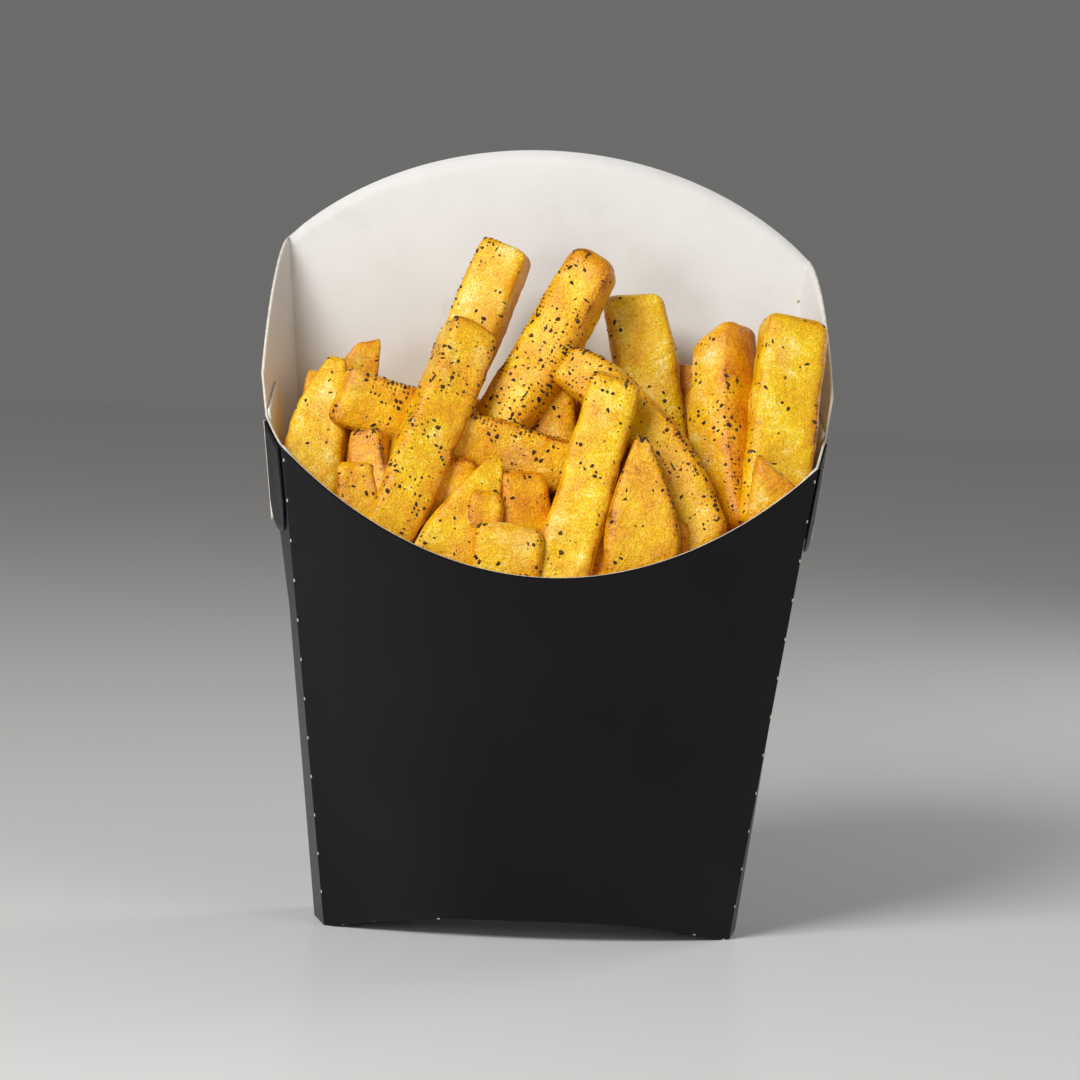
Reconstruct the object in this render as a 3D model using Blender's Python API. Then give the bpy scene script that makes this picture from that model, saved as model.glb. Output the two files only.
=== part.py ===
"""Thick-cut french fries in a folded paperboard scoop carton.

The carton stands on the ends of its arched bottom. Its front is at -Y, its high back panel at +Y.
Two objects: carton, one folded piece of board, and fries, the heap inside it.
Sizes are in millimetres and are turned into metres where vertices are made.
"""
import math
import random
from collections import namedtuple

import bmesh
import bpy
from mathutils import Vector

MM = 0.001

# Carton: widths and depths of the creased box
BASE_HALF_WIDTH = 42.9          # front corner of the base, from the middle
RIM_HALF_WIDTH = 54.9           # front corner at the rim
BACK_HALF_WIDTH = 57.6          # upper corner of the back panel
BASE_HALF_DEPTH = 11.0          # side wall at the base, crease to middle
BACK_HALF_DEPTH = 33.3          # back panel's upper corner, behind the middle
BOARD = 0.5                     # thickness of the paperboard

# Carton: heights
FRONT_CORNER_Z = 101.4          # where the front rim meets the side creases
FRONT_LOW_Z = 77.0              # lowest point of the concave front rim
BACK_CORNER_Z = 144.5           # upper corners of the back panel
BACK_TOP_Z = 166.2              # crown of the back panel's arch
FLAP_RIDGE_Z = 113.0            # back side flap's free edge, at the ridge of the side wall
TUCK_RIDGE_Z = 106.3            # front side flap's top edge, at the same ridge
TAB_BOTTOM_Z = 83.0             # lower end of the side flaps' free part, which stands proud
TAB_STEP = 2.0                  # height in which the side wall steps out to it

# Carton: how far its panels bulge
BASE_BOW = 10.0                 # front and back panels, at the base
TOP_BOW = 3.0                   # the same, at the back panel's crown
SIDE_RIDGE = 2.3                # side wall's ridge past its creases
TAB_RIDGE = 4.7                 # the same, at the free part of the side flaps
BASE_RISE = 4.3                 # front and back base edges, lifted in the middle
BASE_RISE_POWER = 2.6           # shape of that lift: flat in the middle, quick at the ends
BASE_FLAT = 0.94                # share of the half width past which the base lies flat
BOTTOM_ARCH = 3.0               # further lift of the bottom panel, in its middle
FLAP_EDGE_POWER = 1.5           # curve of the back flap's free edge

# Carton: how finely it is divided
PANEL_COLUMNS = 20
FRONT_FACET_COLUMNS = 4
BACK_FACET_COLUMNS = 6
ROWS_BELOW_TAB = 8
ROWS_ABOVE_TAB = 5
JOG_SHARE = 0.06                # of the back facet, between the two flaps' edges

# Heap of fries
HEAP_GAP = 1.8                  # core to the outer face of the board
CORE_BOTTOM_Z = 9.0
CORE_MIDDLE_Z = 45.0
CORE_FRONT_Z = 74.0
CORE_BACK_Z = 104.0
CORE_BUMP = 1.5
FRY_STATIONS = 6
TAPER_LENGTH = 0.7              # share of a fry's length over which its tip widens
TIP_THICKNESS = 0.35            # thickness left at a tip that comes to a point
CORNER_CUT = 0.62               # flat share of each side of a fry, the rest is rounded off
EYE = Vector((0.0, -717.0, 138.0))      # the point from which the heap is laid out
HIDDEN_SEED = 11
HIDDEN_WIDTHS = (10.5, 13.0)
HIDDEN_LEAN = 7.0               # how far a hidden fry's top leans from above its foot
HIDDEN_LENGTH = 30.0

# The largest flakes of the herb and pepper dusting
FLAKE_SEED = 5
FLAKES_PER_FRY = 4
FLAKE_LENGTHS = (1.6, 2.4)
FLAKE_WIDTHS = (0.7, 1.1)
FLAKE_THICK = 0.6               # half of it is sunk into the fry
FLAKE_SHORTEST_FRY = 25.0       # shorter fries are too sunk in the heap to carry any

Fry = namedtuple("Fry", "top_x top_z top_y foot_x foot_z foot_y width thick turn bow tip")

# Every fry that shows. Its ends' x and z are where they are seen on the upright plane through
# the carton's middle, y is how far behind that plane they lie. Turn is in degrees about its
# length, bow bends its middle sideways, and tip is the share of the width left at its top end.
SHOWING = {
    "tall_left": Fry(-9.5, 143.5, 14, -25, 102, 8, 10.3, 10.0, 15, 0.0, 0.92),
    "long_left": Fry(-17, 126, 0, -36, 78, -18, 11.8, 10.5, -8, 0.6, 0.95),
    "tall_round": Fry(9.5, 142, 9, -14, 99, 0, 11.8, 11.5, 20, 0.8, 0.75),
    "pale_back": Fry(18, 134, 20, 25, 98, 15, 12.8, 9.0, 0, 0.5, 0.85),
    "long_curved": Fry(2.5, 120, 2, 35, 80, -15, 11.5, 11.0, 0, 6.0, 0.90),
    "front_centre": Fry(14, 116.5, -11, 2, 68, -20.5, 12.0, 11.0, 5, 0.0, 0.92),
    "wedge_right": Fry(19.5, 104.5, -17, 21, 70, -21, 15.5, 9.5, 0, 0.0, 0.12),
    "wedge_left": Fry(-11, 99.5, -13, -26, 71, -20, 13.5, 9.5, 0, 1.0, 0.15),
    "front_chunk": Fry(-7, 84.5, -20, -8, 64, -20.5, 14.0, 11.0, 4, 0.0, 0.85),
    "left_pale": Fry(-43.5, 117.5, 6, -48.5, 87, -6, 12.5, 10.0, 10, 2.0, 0.30),
    "ochre_level": Fry(-44, 111.5, -1, -16, 103, 3, 12.0, 11.0, 0, 0.0, 0.90),
    "orange_tip": Fry(-37.5, 122.5, 15, -46, 100, 8, 8.5, 8.0, 0, 0.0, 0.35),
    "brown_edged": Fry(-38, 103.5, -9, -35.5, 80, -15, 9.5, 9.0, 20, 0.0, 0.70),
    "shaded_level": Fry(-20, 104, -4, 8, 97, -3, 11.0, 10.0, 0, 0.0, 0.90),
    "orange_short": Fry(-6, 95.5, -11, -4, 74, -15, 12.0, 10.0, -15, 0.0, 0.80),
    "shaded_middle": Fry(1, 114, 6, 3, 92, 2, 10.5, 10.0, 0, 0.0, 0.80),
    "right_orange": Fry(38, 129, 13, 42, 84, -6, 12.0, 11.5, 35, -2.0, 0.75),
    "right_end": Fry(51.3, 130, 5, 48.3, 86, -8, 13.0, 10.5, -8, 0.0, 0.88),
    "right_tip": Fry(49.5, 102.5, -15, 47.5, 80, -17, 8.5, 8.0, 0, 0.0, 0.20),
    "shaded_right": Fry(29, 119.5, 22, 28, 98, 18, 9.0, 8.5, 0, 0.0, 0.80),
    "brown_left": Fry(-50.5, 114.5, 10, -49.5, 95, 5, 6.5, 6.5, 0, 0.0, 0.45),
    "shaded_left": Fry(-41, 96, -13, -38, 76, -17, 9.5, 9.0, 0, 0.0, 0.80),
    "shaded_front": Fry(-13, 91, -17, -14, 74, -18, 8.0, 8.0, 0, 0.0, 0.80),
    "shaded_gap": Fry(12, 88, -14, 12, 70, -17, 9.0, 9.0, 0, 0.0, 0.80),
}

# Fries behind those, seen only from above or from the side: x and y of the top, and its height
HIDDEN_TOPS = [
    (-43, 19, 107), (-30, 24, 111), (-29, 9, 110), (-14, 25, 112), (-4, 18, 113), (7, 26, 118),
    (12, 12, 113), (27, 6, 106), (33, 23, 115), (43, 16, 113), (-20, -6, 100), (30, -6, 99),
    (39, -13, 95), (-47, 2, 99), (-37, 13, 106), (21, 17, 112), (-20, 14, 108), (1, 8, 106),
    (20, -3, 103), (45, 4, 106), (-8, -8, 94), (27, -14, 90), (-37, -1, 100), (-27, -12, 86),
    (17, 27, 111), (-22, 3, 104),
]


def clear_objects():
    """Empty the scene before building."""
    for old in list(bpy.data.objects):
        bpy.data.objects.remove(old, do_unlink=True)


def painted(name, colour, roughness):
    """A plain Principled material."""
    material = bpy.data.materials.new(name)
    material.use_nodes = True
    shader = material.node_tree.nodes["Principled BSDF"]
    shader.inputs["Base Color"].default_value = (*colour, 1.0)
    shader.inputs["Roughness"].default_value = roughness
    shader.inputs["Metallic"].default_value = 0.0
    return material


def share(value, low, high):
    """Where a value lies between two others, held to 0..1."""
    return min(1.0, max(0.0, (value - low) / (high - low)))


def front_half(z):
    """Half the front panel's width at a height."""
    return BASE_HALF_WIDTH + (RIM_HALF_WIDTH - BASE_HALF_WIDTH) * z / FRONT_CORNER_Z


def back_half(z):
    """Half the back panel's width at a height."""
    return BASE_HALF_WIDTH + (BACK_HALF_WIDTH - BASE_HALF_WIDTH) * z / BACK_CORNER_Z


def crease_depth(z):
    """How far the front and back creases are from the carton's middle plane."""
    return BASE_HALF_DEPTH + (BACK_HALF_DEPTH - BASE_HALF_DEPTH) * z / BACK_CORNER_Z


def panel_bow(z):
    """How far the middle of the front or back panel bulges."""
    return BASE_BOW + (TOP_BOW - BASE_BOW) * z / BACK_TOP_Z


def ridge_out(z):
    """How far the side wall's ridge stands out past the creases."""
    return SIDE_RIDGE + (TAB_RIDGE - SIDE_RIDGE) * share(z, TAB_BOTTOM_Z, TAB_BOTTOM_Z + TAB_STEP)


def panel_point(across, z, facing):
    """A point of the front (facing -1) or back (facing 1) panel, across being -1..1."""
    half = front_half(z) if facing < 0 else back_half(z)
    depth = crease_depth(z) + panel_bow(z) * (1.0 - across * across)
    return Vector((across * half, facing * depth, z))


def side_point(along, z, facing):
    """A point of the left (facing -1) or right wall, along being 0 at the front crease,
    1 at the ridge and 2 at the back crease."""
    if along <= 1.0:
        x = front_half(z) + ridge_out(z) * along
        y = -crease_depth(z) * (1.0 - along)
    else:
        ridge = front_half(z) + ridge_out(z)
        x = ridge + (back_half(z) - ridge) * (along - 1.0)
        y = crease_depth(z) * (along - 1.0)
    return Vector((facing * x, y, z))


def front_rim_z(across):
    """Height of the concave front rim, an arc of a circle."""
    sagitta = FRONT_CORNER_Z - FRONT_LOW_Z
    radius = (RIM_HALF_WIDTH ** 2 + sagitta ** 2) / (2.0 * sagitta)
    return FRONT_LOW_Z + radius - math.sqrt(radius ** 2 - (across * RIM_HALF_WIDTH) ** 2)


def back_rim_z(across):
    """Height of the back panel's arched top, an arc of a circle."""
    sagitta = BACK_TOP_Z - BACK_CORNER_Z
    radius = (BACK_HALF_WIDTH ** 2 + sagitta ** 2) / (2.0 * sagitta)
    return BACK_TOP_Z - radius + math.sqrt(radius ** 2 - (across * BACK_HALF_WIDTH) ** 2)


def side_rim_z(along):
    """Height of the side wall's free edge: the front flap's top, a jog, the back flap's curve."""
    if along <= 1.0:
        return FRONT_CORNER_Z + (TUCK_RIDGE_Z - FRONT_CORNER_Z) * along
    drop = (BACK_CORNER_Z - FLAP_RIDGE_Z) * (2.0 - along) ** FLAP_EDGE_POWER
    return BACK_CORNER_Z - drop


def base_z(across):
    """Height of the front and back base edges, lifted between the flat ends."""
    inner = min(1.0, abs(across) / BASE_FLAT)
    return BASE_RISE * (1.0 - inner ** BASE_RISE_POWER)


def panel_positions():
    """Positions across a panel, -1 to 1, even between the base's flat ends."""
    even = PANEL_COLUMNS - 2
    inner = [BASE_FLAT * (2.0 * i / even - 1.0) for i in range(even + 1)]
    return [-1.0] + inner + [1.0]


def side_positions():
    """Positions along a side wall, front crease to back crease, with the jog behind the ridge."""
    front = [i / FRONT_FACET_COLUMNS for i in range(FRONT_FACET_COLUMNS + 1)]
    rest = 1.0 - JOG_SHARE
    back = [1.0 + JOG_SHARE + rest * i / (BACK_FACET_COLUMNS - 1) for i in range(BACK_FACET_COLUMNS)]
    return front + back


def wall_columns():
    """The wall once round, as (point function, bottom height, top height) for each column."""
    columns = []
    for across in panel_positions():
        columns.append((panel_point, across, -1, base_z(across), front_rim_z(across)))
    for along in side_positions()[1:-1]:
        columns.append((side_point, along, 1, 0.0, side_rim_z(along)))
    for across in reversed(panel_positions()):
        columns.append((panel_point, across, 1, base_z(across), back_rim_z(across)))
    for along in reversed(side_positions()[1:-1]):
        columns.append((side_point, along, -1, 0.0, side_rim_z(along)))
    return columns


def column_heights(bottom, top):
    """Heights of one column's points, with two rows at the step under the side tabs."""
    step_low = min(TAB_BOTTOM_Z, TAB_BOTTOM_Z * top / FRONT_CORNER_Z)
    step_high = step_low + TAB_STEP
    below = [bottom + (step_low - bottom) * i / ROWS_BELOW_TAB for i in range(ROWS_BELOW_TAB + 1)]
    above = [step_high + (top - step_high) * i / ROWS_ABOVE_TAB for i in range(ROWS_ABOVE_TAB + 1)]
    return below + above


def bottom_point(across, share_back, side_x):
    """A point of the bottom panel, share_back going from its front edge to its back edge."""
    front = panel_point(across, base_z(across), -1)
    back = panel_point(across, base_z(across), 1)
    point = front.lerp(back, share_back)
    point.x = across * side_x
    inner = min(1.0, abs(across) / BASE_FLAT)
    point.z += BOTTOM_ARCH * 4.0 * share_back * (1.0 - share_back) * (1.0 - inner ** BASE_RISE_POWER)
    return point


def make_carton():
    """Walls and bottom as one surface, given the board's thickness by Solidify."""
    bm = bmesh.new()
    columns = []
    for shape, position, facing, bottom, top in wall_columns():
        heights = column_heights(bottom, top)
        columns.append([bm.verts.new(shape(position, z, facing) * MM) for z in heights])
    for i, column in enumerate(columns):
        following = columns[(i + 1) % len(columns)]
        for low in range(len(column) - 1):
            bm.faces.new((column[low], following[low], following[low + 1], column[low + 1]))

    sides = side_positions()
    side_count = len(sides) - 1
    right_start = PANEL_COLUMNS
    back_start = right_start + side_count
    left_start = back_start + PANEL_COLUMNS
    grid = []
    for row, along in enumerate(sides):
        side = side_point(along, 0.0, 1)
        share_back = share(side.y, -BASE_HALF_DEPTH, BASE_HALF_DEPTH)
        line = []
        for column, across in enumerate(panel_positions()):
            if row == 0:
                vert = columns[column][0]
            elif row == side_count:
                vert = columns[back_start + PANEL_COLUMNS - column][0]
            elif column == 0:
                vert = columns[left_start + side_count - row][0]
            elif column == PANEL_COLUMNS:
                vert = columns[right_start + row][0]
            else:
                vert = bm.verts.new(bottom_point(across, share_back, side.x) * MM)
            line.append(vert)
        grid.append(line)
    for row in range(side_count):
        for column in range(PANEL_COLUMNS):
            bm.faces.new((grid[row][column], grid[row + 1][column],
                          grid[row + 1][column + 1], grid[row][column + 1]))
    carton = finish_mesh(bm, "carton", painted("satin black paperboard", (0.018, 0.017, 0.018), 0.45))
    solidify = carton.modifiers.new("board", "SOLIDIFY")
    solidify.thickness = BOARD * MM
    solidify.offset = -1.0
    solidify.use_even_offset = True
    return carton


def finish_mesh(bm, name, material):
    """Turn a bmesh into a named object in the scene."""
    bmesh.ops.recalc_face_normals(bm, faces=bm.faces)
    mesh = bpy.data.meshes.new(name)
    bm.to_mesh(mesh)
    bm.free()
    mesh.materials.append(material)
    made = bpy.data.objects.new(name, mesh)
    bpy.context.scene.collection.objects.link(made)
    return made


def core_ring(bm, height_at):
    """One ring of the core, a little inside the walls. Its sides stay clear of the tabs' step."""
    ring = []
    for shape, position, facing, _, _ in wall_columns()[::2]:
        wall = shape(position, 0.0, facing)
        z = height_at(share(wall.y, -BASE_HALF_DEPTH - BASE_BOW, BASE_HALF_DEPTH + BASE_BOW))
        wall = shape(position, z, facing)
        inward = Vector((wall.x / front_half(z), wall.y / (crease_depth(z) + panel_bow(z)), 0.0))
        wall -= inward.normalized() * HEAP_GAP
        side_limit = front_half(z) + SIDE_RIDGE - HEAP_GAP
        wall.x = max(-side_limit, min(side_limit, wall.x))
        ring.append(bm.verts.new(wall * MM))
    return ring


def make_core():
    """The heap's body: the carton's inside, up to a slope that is lower at the front."""
    bm = bmesh.new()
    levels = [
        lambda back: CORE_BOTTOM_Z,
        lambda back: CORE_MIDDLE_Z,
        lambda back: CORE_FRONT_Z + (CORE_BACK_Z - CORE_FRONT_Z) * back,
    ]
    rings = [core_ring(bm, level) for level in levels]
    for lower, upper in zip(rings, rings[1:]):
        for i in range(len(lower)):
            after = (i + 1) % len(lower)
            bm.faces.new((lower[i], lower[after], upper[after], upper[i]))
    bm.faces.new(list(reversed(rings[0])))
    top = bm.faces.new(rings[-1])
    centre = bmesh.ops.poke(bm, faces=[top])["verts"][0]
    centre.co.z += CORE_BUMP * MM
    return finish_mesh(bm, "fries", painted("fried potato", (0.72, 0.42, 0.06), 0.55))


def seen_at(x, z, y):
    """The point at depth y that the eye sees at x, z on the upright middle plane."""
    on_plane = Vector((x, 0.0, z))
    return EYE + (on_plane - EYE) * (1.0 + y / -EYE.y)


def fry_section(width, thick):
    """The rounded-off rectangle of a fry's cross section, as eight corners."""
    half_w = width / 2.0
    half_t = thick / 2.0
    flat_w = half_w * CORNER_CUT
    flat_t = half_t * CORNER_CUT
    return [(half_w, -flat_t), (half_w, flat_t), (flat_w, half_t), (-flat_w, half_t),
            (-half_w, flat_t), (-half_w, -flat_t), (-flat_w, -half_t), (flat_w, -half_t)]


def fry_frame(top, foot, turn_degrees):
    """A fry's directions: its axis, the way across the view, and its section's two ways."""
    axis = (foot - top).normalized()
    across = axis.cross(top - EYE).normalized()
    deep = axis.cross(across)
    turn = math.radians(turn_degrees)
    wide_way = across * math.cos(turn) + deep * math.sin(turn)
    thick_way = deep * math.cos(turn) - across * math.sin(turn)
    return axis, across, wide_way, thick_way


def fry_axis_point(top, foot, across, bow, along):
    """A point of a fry's bent axis."""
    return top.lerp(foot, along) + across * bow * 4.0 * along * (1.0 - along)


def fry_taper(tip, along):
    """Shares of the full width and thickness, from the tip's at the top end to 1."""
    narrow = tip + (1.0 - tip) * math.sin(math.pi / 2.0 * min(1.0, along / TAPER_LENGTH))
    thin = TIP_THICKNESS + (1.0 - TIP_THICKNESS) * narrow
    return narrow, thin


def make_fry(name, top, foot, fry, collection):
    """One fry: a bar lofted along a bent axis, narrowed at its top end by its tip share."""
    _, across, wide_way, thick_way = fry_frame(top, foot, fry.turn)
    bm = bmesh.new()
    rings = []
    for station in range(FRY_STATIONS):
        along = station / (FRY_STATIONS - 1)
        centre = fry_axis_point(top, foot, across, fry.bow, along)
        narrow, thin = fry_taper(fry.tip, along)
        section = fry_section(fry.width * narrow, fry.thick * thin)
        rings.append([bm.verts.new((centre + wide_way * w + thick_way * t) * MM) for w, t in section])
    for lower, upper in zip(rings, rings[1:]):
        for i in range(len(lower)):
            after = (i + 1) % len(lower)
            bm.faces.new((lower[i], lower[after], upper[after], upper[i]))
    bm.faces.new(list(reversed(rings[0])))
    bm.faces.new(rings[-1])
    made = finish_mesh(bm, name, bpy.data.materials["fried potato"])
    bpy.context.scene.collection.objects.unlink(made)
    collection.objects.link(made)
    return made


def make_flake(name, centre, length_way, normal, size, collection):
    """One flake: a small flat block half sunk into a fry's face."""
    width_way = normal.cross(length_way)
    bm = bmesh.new()
    bmesh.ops.create_cube(bm, size=1.0)
    for vert in bm.verts:
        along, wide, high = vert.co
        place = centre + length_way * along * size[0] + width_way * wide * size[1]
        vert.co = (place + normal * high * FLAKE_THICK) * MM
    made = finish_mesh(bm, name, bpy.data.materials["fried potato"])
    bpy.context.scene.collection.objects.unlink(made)
    collection.objects.link(made)


def add_flakes(name, top, foot, fry, draw, collection):
    """A few flakes on the face of a fry that looks to the front."""
    axis, across, wide_way, thick_way = fry_frame(top, foot, fry.turn)
    normal = thick_way if thick_way.dot(EYE - top) > 0.0 else -thick_way
    for number in range(FLAKES_PER_FRY):
        along = (number + draw.uniform(0.3, 0.9)) / (FLAKES_PER_FRY + 2)
        narrow, thin = fry_taper(fry.tip, along)
        reach = fry.width * narrow * CORNER_CUT / 2.0 - FLAKE_LENGTHS[1] / 2.0
        centre = fry_axis_point(top, foot, across, fry.bow, along)
        centre += wide_way * draw.uniform(-reach, reach) + normal * fry.thick * thin / 2.0
        angle = draw.uniform(0.0, math.pi)
        length_way = axis * math.cos(angle) + wide_way * math.sin(angle)
        size = (draw.uniform(*FLAKE_LENGTHS), draw.uniform(*FLAKE_WIDTHS))
        make_flake("%s_flake_%d" % (name, number), centre, length_way, normal, size, collection)


def add_showing(collection):
    """The fries that the front of the heap shows, with flakes on the long ones."""
    draw = random.Random(FLAKE_SEED)
    for name, fry in SHOWING.items():
        top = seen_at(fry.top_x, fry.top_z, fry.top_y)
        foot = seen_at(fry.foot_x, fry.foot_z, fry.foot_y)
        make_fry("fry_" + name, top, foot, fry, collection)
        if (foot - top).length > FLAKE_SHORTEST_FRY and fry.tip > 0.5:
            add_flakes(name, top, foot, fry, draw, collection)


def add_hidden(collection):
    """The fries behind, standing at seeded leans."""
    draw = random.Random(HIDDEN_SEED)
    for number, (x, y, z) in enumerate(HIDDEN_TOPS):
        lean = Vector((draw.uniform(-HIDDEN_LEAN, HIDDEN_LEAN), draw.uniform(-HIDDEN_LEAN, 0.0), 0.0))
        inward = Vector((-0.12 * x, -0.25 * y, 0.0))
        top = Vector((x, y, z))
        foot = top + inward + lean - Vector((0.0, 0.0, HIDDEN_LENGTH))
        width = draw.uniform(*HIDDEN_WIDTHS)
        shape = Fry(0, 0, 0, 0, 0, 0, width, width - 1.0, draw.uniform(-45, 45), 0.0, 0.8)
        make_fry("fry_behind_%02d" % number, top, foot, shape, collection)


def make_fries():
    """The heap: a core with every fry fused on by one union."""
    core = make_core()
    pieces = bpy.data.collections.new("fries to fuse")
    bpy.context.scene.collection.children.link(pieces)
    add_showing(pieces)
    add_hidden(pieces)
    union = core.modifiers.new("fuse fries", "BOOLEAN")
    union.operation = "UNION"
    union.operand_type = "COLLECTION"
    union.collection = pieces
    union.solver = "EXACT"
    bpy.context.view_layer.update()
    evaluated = core.evaluated_get(bpy.context.evaluated_depsgraph_get())
    fused = bpy.data.meshes.new_from_object(evaluated)
    core.modifiers.clear()
    core.data = fused
    for piece in list(pieces.objects):
        bpy.data.objects.remove(piece, do_unlink=True)
    bpy.data.collections.remove(pieces)
    return core


def centre_on_base(objects, carton):
    """Move everything so that the origin is under the middle of the carton's outline."""
    depths = [vert.co.y for vert in carton.data.vertices]
    middle = (min(depths) + max(depths)) / 2.0
    for piece in objects:
        piece.location.y = -middle


def main():
    clear_objects()
    carton = make_carton()
    fries = make_fries()
    centre_on_base((carton, fries), carton)


main()
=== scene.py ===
# %% [markdown]
# # French fries in a black paperboard scoop
# Thick-cut fries stand in a folded carton with a high arched back. The imported CAD model gives the
# exact place and size of the carton and of the heap. This script makes what the eye reads on top
# of them: thin board with pale cut edges, fried skin, browned edges, herbs, pepper and salt.
# The frame is loaded first, because the carton's middle plane is placed from it.

# %% Load the frame
import math
import random

import bmesh
import bpy
from mathutils import Matrix, Vector, noise
from mathutils.bvhtree import BVHTree


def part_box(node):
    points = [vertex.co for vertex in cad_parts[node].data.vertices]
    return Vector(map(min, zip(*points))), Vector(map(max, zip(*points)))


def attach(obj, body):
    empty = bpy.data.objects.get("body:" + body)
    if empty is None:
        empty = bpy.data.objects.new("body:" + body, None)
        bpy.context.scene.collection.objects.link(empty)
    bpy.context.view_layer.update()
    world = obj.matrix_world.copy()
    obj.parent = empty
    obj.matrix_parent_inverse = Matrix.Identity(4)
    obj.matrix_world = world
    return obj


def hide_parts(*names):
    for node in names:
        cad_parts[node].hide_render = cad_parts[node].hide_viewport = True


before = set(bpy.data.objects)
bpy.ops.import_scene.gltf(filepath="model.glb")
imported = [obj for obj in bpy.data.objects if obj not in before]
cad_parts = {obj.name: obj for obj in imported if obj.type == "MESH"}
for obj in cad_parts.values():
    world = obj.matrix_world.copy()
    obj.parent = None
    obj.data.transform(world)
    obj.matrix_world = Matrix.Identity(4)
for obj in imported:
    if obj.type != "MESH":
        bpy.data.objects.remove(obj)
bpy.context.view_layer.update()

MM = 0.001
carton_low, carton_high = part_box("carton")

# %% [markdown]
# ## Sizes of the carton
# A scoop carton is one die-cut blank, folded along perforated creases. Each height has a simple
# section: a bowed front panel, a bowed back panel, and side walls with a ridge between two
# creases. A few named sizes and straight-line rules between the base and the top give them all.
# The alternative, tracing sections, would hide how the folds depend on each other.

# %% Carton sizes in millimetres
BASE_HALF_WIDTH = 42.9
RIM_HALF_WIDTH = 54.9
BACK_HALF_WIDTH = 57.6
BASE_HALF_DEPTH = 11.0
BACK_HALF_DEPTH = 33.3
BOARD = 0.5
FRONT_CORNER_Z = 101.4
FRONT_LOW_Z = 77.0
BACK_CORNER_Z = 144.5
BACK_TOP_Z = 166.19
FLAP_RIDGE_Z = 113.0
TUCK_RIDGE_Z = 106.3
TAB_BOTTOM_Z = 83.0
TAB_STEP = 2.0
BASE_BOW = 10.0
TOP_BOW = 3.0
SIDE_RIDGE = 2.3
TAB_RIDGE = 4.68
UNDER_TAB_RIDGE = 4.05
WALL_SWELL_Z = 66.0
TAB_TOP_Z = 105.6
SWELL_TOP_Z = 112.5
BASE_RISE = 4.3
BASE_RISE_POWER = 2.6
BASE_FLAT = 0.94
BOTTOM_ARCH = 3.0
FLAP_EDGE_POWER = 1.5
FRONT_EDGE_POWER = 1.6


def share(value, low, high):
    """Where a value lies between two others, held to 0..1."""
    return min(1.0, max(0.0, (value - low) / (high - low)))


def front_half(z):
    return BASE_HALF_WIDTH + (RIM_HALF_WIDTH - BASE_HALF_WIDTH) * z / FRONT_CORNER_Z


def back_half(z):
    return BASE_HALF_WIDTH + (BACK_HALF_WIDTH - BASE_HALF_WIDTH) * z / BACK_CORNER_Z


def crease_depth(z):
    return BASE_HALF_DEPTH + (BACK_HALF_DEPTH - BASE_HALF_DEPTH) * z / BACK_CORNER_Z


def panel_bow(z):
    return BASE_BOW + (TOP_BOW - BASE_BOW) * z / BACK_TOP_Z


def ridge_out(z):
    """Ridge of the side wall past its creases. Free tabs lie outside it, up to TAB_TOP_Z."""
    under_tab = SIDE_RIDGE + (UNDER_TAB_RIDGE - SIDE_RIDGE) * share(z, WALL_SWELL_Z, TAB_TOP_Z)
    return under_tab + (TAB_RIDGE - UNDER_TAB_RIDGE) * share(z, TAB_TOP_Z, SWELL_TOP_Z)


# The carton's crease-to-crease middle plane lies a little in front of the frame's origin.
MIDDLE_Y = carton_high.y / MM - crease_depth(BACK_TOP_Z) - panel_bow(BACK_TOP_Z)
print("middle plane of the carton at y =", round(MIDDLE_Y, 2), "mm")

# %% [markdown]
# ## Camera
# The photograph is taken from low in front, about 0.7 m away, with a long lens and a camera that
# is turned by about two degrees. Copying that eye point matters more than the lens: the way the
# rim, the fries and the back panel cover each other depends on it. No shift and no depth of field
# are used, so that other views of the same scene stay true.

# %% Camera
EYE = Vector((-29.0, MIDDLE_Y - 717.0, 138.0))
AIM = Vector((-0.4, MIDDLE_Y, 82.4))
PIXELS_PER_MM = 4.7
FRAME_PIXELS = 1080.0
SENSOR_MM = 36.0
CAMERA_ROLL = math.radians(2.5)


def add_camera():
    camera = bpy.data.objects.new("camera", bpy.data.cameras.new("camera"))
    bpy.context.scene.collection.objects.link(camera)
    camera.data.sensor_width = SENSOR_MM
    camera.data.lens = SENSOR_MM * PIXELS_PER_MM * (AIM - EYE).length / FRAME_PIXELS
    level = (AIM - EYE).to_track_quat("-Z", "Y").to_matrix().to_4x4()
    camera.matrix_world = Matrix.Translation(EYE * MM) @ level @ Matrix.Rotation(CAMERA_ROLL, 4, "Z")
    camera.data.clip_start = 0.01
    camera.data.clip_end = 20.0
    bpy.context.scene.camera = camera
    return camera


camera = add_camera()
print("lens in mm:", round(camera.data.lens, 1))

# %% [markdown]
# ## Studio light
# Food is usually lit by one large soft source from the side, a weaker one from the other side and
# pale surroundings. That is what is used here: the key from the upper left in front, so the fries
# throw soft shadows to the right on the white board, and a low one that only skims the right side.
# A small lamp low on the left draws the soft sheen on the black front. The floor is plain and
# pale, with a slight sheen as a wiped table top has.

# %% Floor and lights
FLOOR_HALF_SIZE = 2500.0
KEY_WATTS = 9.2
FILL_WATTS = 1.4
SIDE_WATTS = 1.4
SHEEN_WATTS = 1.1


def add_area_light(name, place, target, size, watts):
    """A square soft light at one point, aimed at another, with sizes in millimetres."""
    light = bpy.data.lights.new(name, "AREA")
    light.energy = watts
    light.size = size * MM
    lamp = bpy.data.objects.new(name, light)
    bpy.context.scene.collection.objects.link(lamp)
    turned = (Vector(target) - Vector(place)).to_track_quat("-Z", "Y").to_matrix().to_4x4()
    lamp.matrix_world = Matrix.Translation(Vector(place) * MM) @ turned
    return lamp


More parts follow.
